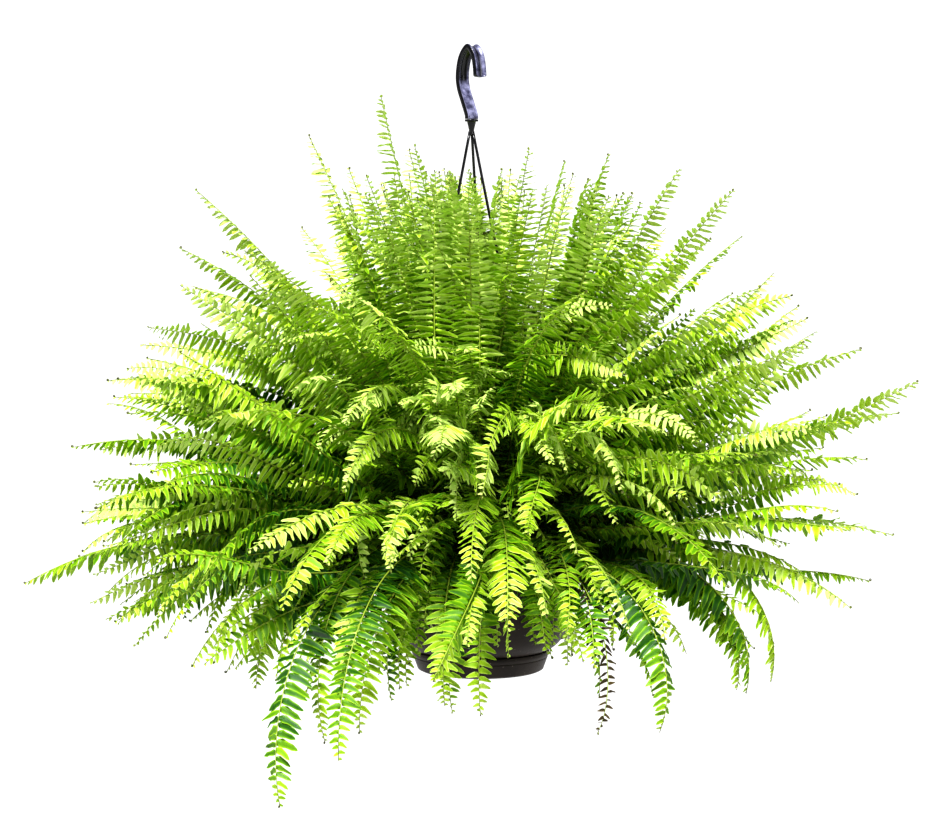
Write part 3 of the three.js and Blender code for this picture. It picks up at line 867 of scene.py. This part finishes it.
def grow(name, fronds, stands_for=(), leaf=LEAF):
    """Joins fronds into one piece. Each leaflet has its own cell of the flat map, and the midribs
    share its top strip.
    """
    parts = [part for made in fronds for part in made["mesh"]]
    points, quads, tris = joined(parts)
    ink = np.concatenate([row for made in fronds for row in made["ink"]])
    vein = np.concatenate([row for made in fronds for row in made["vein"]])
    hard = np.concatenate([row for made in fronds for row in made["hard"]])
    local = np.concatenate([row for made in fronds for row in made["local"]])
    cells, bands, seen = [], [], 0
    for number, made in enumerate(fronds):
        cells += [made["cell"][0] + seen, made["cell"][1]]
        bands += [np.full(len(made["cell"][0]), number), np.full(len(made["cell"][1]), number)]
        seen += made["cell"][0].max() + 1
    cells, bands = np.concatenate(cells), np.concatenate(bands)
    columns = int(np.ceil(2 * np.sqrt(seen)))
    rows = int(np.ceil(seen / columns))
    inset = 0.08
    leaf_uv = np.stack(
        [
            (cells % columns + inset + (1 - 2 * inset) * local[:, 0]) / columns,
            0.94 * (cells // columns + inset / 2 + (1 - inset) * local[:, 1]) / rows,
        ],
        1,
    )
    strip = 0.055 / len(fronds)
    rib_uv = np.stack([0.002 + 0.996 * local[:, 0], 0.944 + strip * (bands + 0.1 + 0.8 * local[:, 1])], 1)
    uv = np.where((cells < 0)[:, None], rib_uv, leaf_uv)
    is_rib = (cells < 0).astype(int)
    kinds = np.concatenate([is_rib[quads[:, 0]], is_rib[tris[:, 0]]])
    return put_in(
        name, points, quads, tris, [leaf, STALK], "frond_green", stands_for,
        {"leaf": ink, "vein": vein}, hard, kinds, uv,
    )


# seat is the height on the crown, in degrees above its waist.
# Each leading frond is (azimuth, launch, droop, length, roll), in degrees and millimetres.
TIERS = [
    (72, [
        (180, 79, 2, 530, 30), (128, 78, 8, 475, 0), (233, 80, 8, 470, 10),
        (295, 80, 8, 465, 0), (26, 80, 8, 455, -30),
    ]),
    (58, [
        (172, 71, 8, 515, -20), (6, 76, 8, 475, -45), (346, 67, 12, 490, -35), (226, 73, 15, 460, 15),
        (264, 73, 20, 450, 0), (146, 71, 12, 480, 5), (103, 76, 8, 460, 0), (56, 72, 12, 470, -10),
    ]),
    (46, [
        (180, 60, 20, 525, 20), (164, 56, 32, 500, 25), (353, 62, 16, 500, -35), (18, 57, 25, 490, -20),
        (222, 60, 36, 470, 25), (248, 60, 46, 450, 10), (284, 60, 46, 450, -10),
        (340, 56, 36, 450, -20), (44, 60, 28, 490, 0), (104, 61, 28, 490, 0), (138, 60, 28, 490, 0),
    ]),
    (34, [
        (187, 43, 42, 440, 30), (168, 40, 42, 460, 20), (3, 47, 26, 440, -30), (348, 37, 22, 485, -35),
        (228, 44, 60, 450, 20), (262, 44, 66, 450, 0), (296, 44, 62, 450, -15),
        (34, 44, 50, 470, 0), (64, 44, 50, 480, 0), (116, 44, 50, 480, 0), (146, 44, 46, 470, 0),
    ]),
    (22, [
        (190, 31, 42, 482, 25), (356, 20, -8, 525, -35), (10, 24, 20, 530, -20), (240, 27, 86, 430, 10),
        (276, 26, 90, 420, 0), (304, 28, 80, 430, -10), (50, 28, 60, 470, 0), (98, 28, 66, 480, 0),
        (134, 28, 62, 480, 0), (164, 18, 40, 500, 10),
    ]),
    (8, [
        (181, 11, 40, 520, 20), (1, 13, 28, 465, -20), (340, 14, 118, 400, 0), (236, 10, 120, 535, 10),
        (264, 10, 130, 325, 0), (309, 12, 128, 405, 0),
    ]),
]


def manner(seat, rng, size=1.0, unrest=(0.6, 1.1)):
    """How a frond carries its leaflets: upright ones turn them like slats, low ones lie flat and hang
    more.
    """
    upright = (seat - 8) / 64
    return {
        "size": size * rng.uniform(0.90, 1.10) * (1.06 - 0.16 * upright),
        "gap": 1.12 - 0.26 * min(upright, 1),
        "slat": rng.uniform(0.42, 0.72),
        "hang": rng.uniform(0.05, 0.25) + 0.4 * upright,
        "lean": rng.uniform(-4, 12),
        "lift": rng.uniform(-26, 0),
        "sag": rng.uniform(0.10, 0.36),
        "unrest": rng.uniform(*unrest),
        "taper": rng.uniform(40, 80) * MM,
        # Low fronds come out darker: partly older leaves, partly painted shade under the bush's top.
        "age_and_shade": float(np.clip(0.48 - 0.90 * upright + rng.normal(0, 0.34), -0.5, 1.0)),
        "coil": rng.uniform(0.9, 1.6) if rng.random() < 0.7 else 0,
    }


# Old fronds among the leading ones, by their number, with the age that darkens their leaflets.
OLD = {46: 0.6, 49: 0.9, 51: 0.8}
lead_rng = np.random.default_rng(3)
number = 0
for seat, row in TIERS:
    for entry in row:
        style = manner(seat, lead_rng)
        sweep = SWEEP * np.sin(2.4 * number)
        number += 1
        style["age_and_shade"] = OLD.get(number, style["age_and_shade"])
        made = frond((seat, *entry), sweep, style, lead_rng, 6)
        grow(f"leading_frond_{number:02d}", [made], [f"frond_{number:02d}"])

# Inner fronds. Each group is (name, count, seats, azimuths, launches, droops, lengths, roll spread,
# leaflet size).
INNER = [
    ("crest_front", 46, (56, 88), (186, 354), (70, 89), (2, 18), (440, 500), 50, 1.1),
    ("brow_front", 34, (50, 86), (212, 328), (58, 86), (70, 160), (220, 440), 90, 0.85),
    ("crest_back", 34, (56, 88), (20, 160), (70, 89), (2, 18), (440, 500), 40, 1.1),
    ("shoulder_front", 36, (32, 66), (205, 335), (36, 74), (30, 110), (230, 420), 80, 0.92),
    ("shoulder_back", 26, (36, 62), (20, 160), (44, 72), (14, 50), (360, 470), 60, 0.95),
    ("shoulder_left", 37, (34, 62), (150, 214), (40, 76), (6, 56), (380, 500), 65, 0.88),
    ("shoulder_right", 34, (34, 62), (-34, 30), (38, 76), (4, 50), (350, 480), 65, 0.92),
    ("face_front", 52, (10, 70), (218, 322), (10, 72), (60, 160), (170, 330), 80, 0.82),
    ("flank_front", 34, (14, 44), (208, 332), (10, 52), (46, 110), (260, 410), 60, 0.95),
    ("flank_back", 27, (14, 44), (28, 152), (16, 52), (30, 80), (330, 450), 60, 0.95),
    ("flank_left", 53, (2, 42), (152, 218), (0, 46), (24, 90), (380, 510), 70, 0.82),
    ("flank_right", 38, (6, 42), (-34, 28), (4, 48), (0, 62), (330, 475), 65, 0.86),
    ("skirt_front", 26, (2, 22), (205, 335), (-4, 24), (60, 115), (200, 320), 45, 0.95),
    ("skirt_back", 22, (2, 22), (30, 150), (0, 26), (50, 120), (280, 400), 45, 1.0),
    ("reach_left", 18, (6, 36), (164, 202), (4, 38), (18, 62), (440, 520), 50, 0.80),
]
SPREAD = 62 * MM
FACING = 0.5
WANDER = 14
RESTLESS = ("brow_front", "face_front", "shoulder_front", "flank_front")
UNREST = (0.9, 1.9)
CALM = (0.6, 1.2)
# The bush's outline: how far from the crown a tip may reach, in metres, at each elevation in degrees.
OUTLINE_RISE = (-90, -60, -40, -25, -12, 0, 20, 45, 70, 90)
OUTLINE_REACH = (0.16, 0.19, 0.28, 0.36, 0.42, 0.44, 0.46, 0.48, 0.48, 0.49)
# The pot shows between these azimuths, where inner fronds end no lower than this below the crown, in
# metres.
POT_WINDOW = (270, 306)
WINDOW_DROP = 0.085
# The strands show above this height over the crown, at this distance either side of the middle, in metres.
STRANDS_FROM = 0.385
STRANDS_HALF = 0.034
# Notches in the bush's front outline: (direction from +X towards +Z, half width, reach), in degrees
# and metres.
NOTCHES = [(120, 8, 0.375), (64.5, 4, 0.42), (-160, 11, 0.30), (-9, 6, 0.37)]
NOTCH_FLARE = 0.12


def within_outline(spec, sweep, aside):
    """The same frond, shortened in proportion where its tip would pass the bush's outline, which is
    wider than deep.
    """
    tip = midrib(*spec, sweep, aside)[1][-1] - CROWN_CENTRE
    far = np.linalg.norm(tip)
    reach = np.interp(np.degrees(np.arcsin(tip[2] / far)), OUTLINE_RISE, OUTLINE_REACH)
    share = min(1.0, reach * (0.95 + 0.10 * abs(tip[0]) / far) / far)
    if POT_WINDOW[0] < spec[1] < POT_WINDOW[1] and tip[2] < -WINDOW_DROP:
        share = min(share, WINDOW_DROP / -tip[2])
    if abs(tip[0]) < STRANDS_HALF and tip[1] < 0.03 and tip[2] > STRANDS_FROM:
        share = min(share, STRANDS_FROM / tip[2])
    for middle, half, least in NOTCHES:
        off = abs(np.degrees(np.arctan2(tip[2], tip[0])) - middle) / half
        if off < 1:
            share = min(share, (least + NOTCH_FLARE * off**2) / np.hypot(tip[0], tip[2]))
    return (*spec[:4], spec[4] * share, spec[5])


for place, (name, count, seats, ways, launches, droops, lengths, spread, size) in enumerate(INNER):
    rng = np.random.default_rng(100 + place)
    made = []
    for k in range(count):
        share = (k + rng.uniform(0.0, 1.0)) / count
        seat = rng.uniform(*seats)
        azimuth = ways[0] + (ways[1] - ways[0]) * share
        height = (seat - seats[0]) / (seats[1] - seats[0])
        launch = launches[0] + (launches[1] - launches[0]) * np.clip(height + rng.normal(0, 0.25), 0, 1)
        broadside = (90 if 0 < azimuth < 180 else 270 if azimuth >= 180 else -90) - azimuth
        roll = FACING * np.sin(np.radians(launch)) * broadside + rng.normal(0, spread / 2)
        spec = (seat, azimuth, launch, rng.uniform(*droops), rng.uniform(*lengths), roll)
        off, way = SPREAD * np.sqrt(rng.random()), rng.uniform(0, 2 * np.pi)
        aside = np.array([off * np.cos(way), off * np.sin(way), -0.25 * off])
        sweep = rng.normal(0, 26)
        style = manner(seat, rng, size, UNREST if name in RESTLESS else CALM)
        spec = within_outline(spec, sweep, aside)
        made.append(frond(spec, sweep, style, rng, 5, aside, rng.normal(0, WANDER, 2)))
    grow(name, made)

# Long fronds that hang out of the bush: the tip's x, y and z in millimetres, the darkening for age and painted
# shade, and the leaflet size.
HANGING = [
    (-140, -400, -770, 0.9, 0.80), (-160, -300, -770, 0.5, 0.75), (-120, -350, -750, 0.4, 0.80),
    (-180, -300, -720, 0.6, 0.90), (-350, -150, -680, 0.7, 0.50), (-290, -200, -700, 0.5, 0.60),
    (-420, -50, -680, 0.3, 0.80), (310, -100, -750, 0.3, 1.00), (350, -100, -740, 0.3, 0.90),
    (-30, -250, -740, 0.3, 0.95), (10, -250, -750, 0.3, 0.90), (-80, -250, -720, 0.4, 0.90),
    (-70, -200, -700, 0.6, 0.85), (-60, -200, -690, 0.6, 0.85), (-220, -200, -720, 0.5, 0.90),
]
DRY = [(140, -250, -770, 0.6, 0.45)]
HANGING_SEAT = 15
HANGING_LAUNCH = 14
LAUNCH_SWAY = 5
DRY_UNREST = 3.5


def hung(tip, seat, launch, sweep):
    """The azimuth, droop and length that bring a frond to a tip, in degrees and millimetres.

    For each droop from 0 to 150 degrees the mean heading is split into its parts away from the crown,
    sideways and up. The length is the root of a quadratic that ends the frond at the tip's distance from
    the crown's axis. The droop whose frond then ends at the tip's height is taken,
    and the azimuth allows for what the sweep adds.
    """
    away = np.array(tip) * MM - CROWN_CENTRE
    far = np.hypot(away[0], away[1])
    s = np.radians(seat)
    waist, height = CROWN_REACH * np.cos(s), CROWN_REACH * np.sin(s)
    t = (np.arange(MIDRIB_STEPS) + 0.5) / MIDRIB_STEPS
    droops = np.arange(151.0)
    rise = np.radians(launch - droops[:, None] * t**DROOP_POWER)
    turn = np.radians(sweep * t**2)
    on = (np.cos(rise) * np.cos(turn)).mean(1)
    off = (np.cos(rise) * np.sin(turn)).mean(1)
    up = np.sin(rise).mean(1)
    square = on**2 + off**2
    lengths = (np.sqrt((waist * on) ** 2 + square * (far**2 - waist**2)) - waist * on) / square
    droop = np.interp(-away[2], -(height + lengths * up), droops)
    swung = np.interp(droop, droops, np.arctan2(lengths * off, waist + lengths * on))
    return np.degrees(np.arctan2(away[1], away[0]) - swung), droop, np.interp(droop, droops, lengths) / MM


for name, row, leaf in (("hanging_fronds", HANGING, LEAF), ("dry_frond", DRY, DRY_LEAF)):
    rng = np.random.default_rng(len(row))
    made = []
    for k, (*tip, age_and_shade, size) in enumerate(row):
        style = manner(HANGING_SEAT, rng, size) | {"age_and_shade": age_and_shade}
        if leaf is DRY_LEAF:
            style["unrest"] = DRY_UNREST
        sweep, launch = SWEEP * np.sin(2.4 * k), HANGING_LAUNCH + LAUNCH_SWAY * np.sin(1.7 * k)
        azimuth, droop, length = hung(tip, HANGING_SEAT, launch, sweep)
        spec = (HANGING_SEAT, azimuth, launch, droop, length, rng.normal(0, 8))
        made.append(frond(spec, sweep, style, rng, 5))
    grow(name, made, leaf=leaf)

# ---------------------------------------------------------------- floor, light and camera

FLOOR_Z = -3.20
EYE = (-0.0024, -3.0, -0.220)
AIM = (-0.0024, 0.0, -0.434)
LENS = 96.1
SUN_POWER = 7.2
SUN_ANGLE = 13
SUN_WAY = (0.40, 0.80, -1.18)
WINDOW_PLACE = (2.4, -1.6, 0.6)
WINDOW_AIM = (0, 0, -0.45)
WINDOW_SIZE = 1.6
WINDOW_POWER = 25
FILL = 0.11
BACKGROUND = 0.94


def floor():
    """Flat square, far wider than any view."""
    reach = 60.0
    mesh = bpy.data.meshes.new("floor")
    corners = np.array([(-1, -1, 0), (1, -1, 0), (1, 1, 0), (-1, 1, 0)]) * reach + [0, 0, FLOOR_Z]
    mesh.from_pydata(corners.tolist(), [], [(0, 1, 2, 3)])
    made, tree, shader = fresh("floor_paint")
    colour = ramp(tree, noise(tree, 0.6), [(0.3, (0.53, 0.53, 0.53)), (0.7, (0.56, 0.56, 0.56))])
    tree.links.new(colour, shader.inputs["Base Color"])
    shader.inputs["Roughness"].default_value = 0.9
    shader.inputs["Specular IOR Level"].default_value = 0.0
    mesh.materials.append(made)
    ground = bpy.data.objects.new("floor", mesh)
    bpy.context.scene.collection.objects.link(ground)


def softbox(name, place, aim, size, power):
    """Square area light at place, turned to face aim."""
    light = bpy.data.lights.new(name, "AREA")
    light.shape = "SQUARE"
    light.size = size
    light.energy = power
    lamp = bpy.data.objects.new(name, light)
    lamp.location = place
    way = Vector(aim) - Vector(place)
    lamp.rotation_euler = way.to_track_quat("-Z", "Y").to_euler()
    bpy.context.scene.collection.objects.link(lamp)


floor()
sky = bpy.data.lights.new("ceiling_light", "SUN")
sky.energy = SUN_POWER
sky.angle = np.radians(SUN_ANGLE)
lamp = bpy.data.objects.new("ceiling_light", sky)
lamp.rotation_euler = Vector(SUN_WAY).to_track_quat("-Z", "Y").to_euler()
bpy.context.scene.collection.objects.link(lamp)
softbox("side_window", WINDOW_PLACE, WINDOW_AIM, WINDOW_SIZE, WINDOW_POWER)

world = bpy.data.worlds.new("white_room")
world.use_nodes = True
seen_direct = add(world.node_tree, "ShaderNodeLightPath").outputs["Is Camera Ray"]
strength = scaled(world.node_tree, seen_direct, BACKGROUND, FILL)
world.node_tree.nodes["Background"].inputs["Color"].default_value = (1, 1, 1, 1)
world.node_tree.links.new(strength, world.node_tree.nodes["Background"].inputs["Strength"])
bpy.context.scene.world = world
bpy.context.scene.view_settings.view_transform = "Standard"
bpy.context.scene.view_settings.look = "Medium High Contrast"

eye = bpy.data.cameras.new("camera")
eye.lens = LENS
eye.sensor_width = 36
eye.clip_end = 200
camera = bpy.data.objects.new("camera", eye)
camera.location = EYE
camera.rotation_euler = (Vector(AIM) - Vector(EYE)).to_track_quat("-Z", "Y").to_euler()
bpy.context.scene.collection.objects.link(camera)
bpy.context.scene.camera = camera
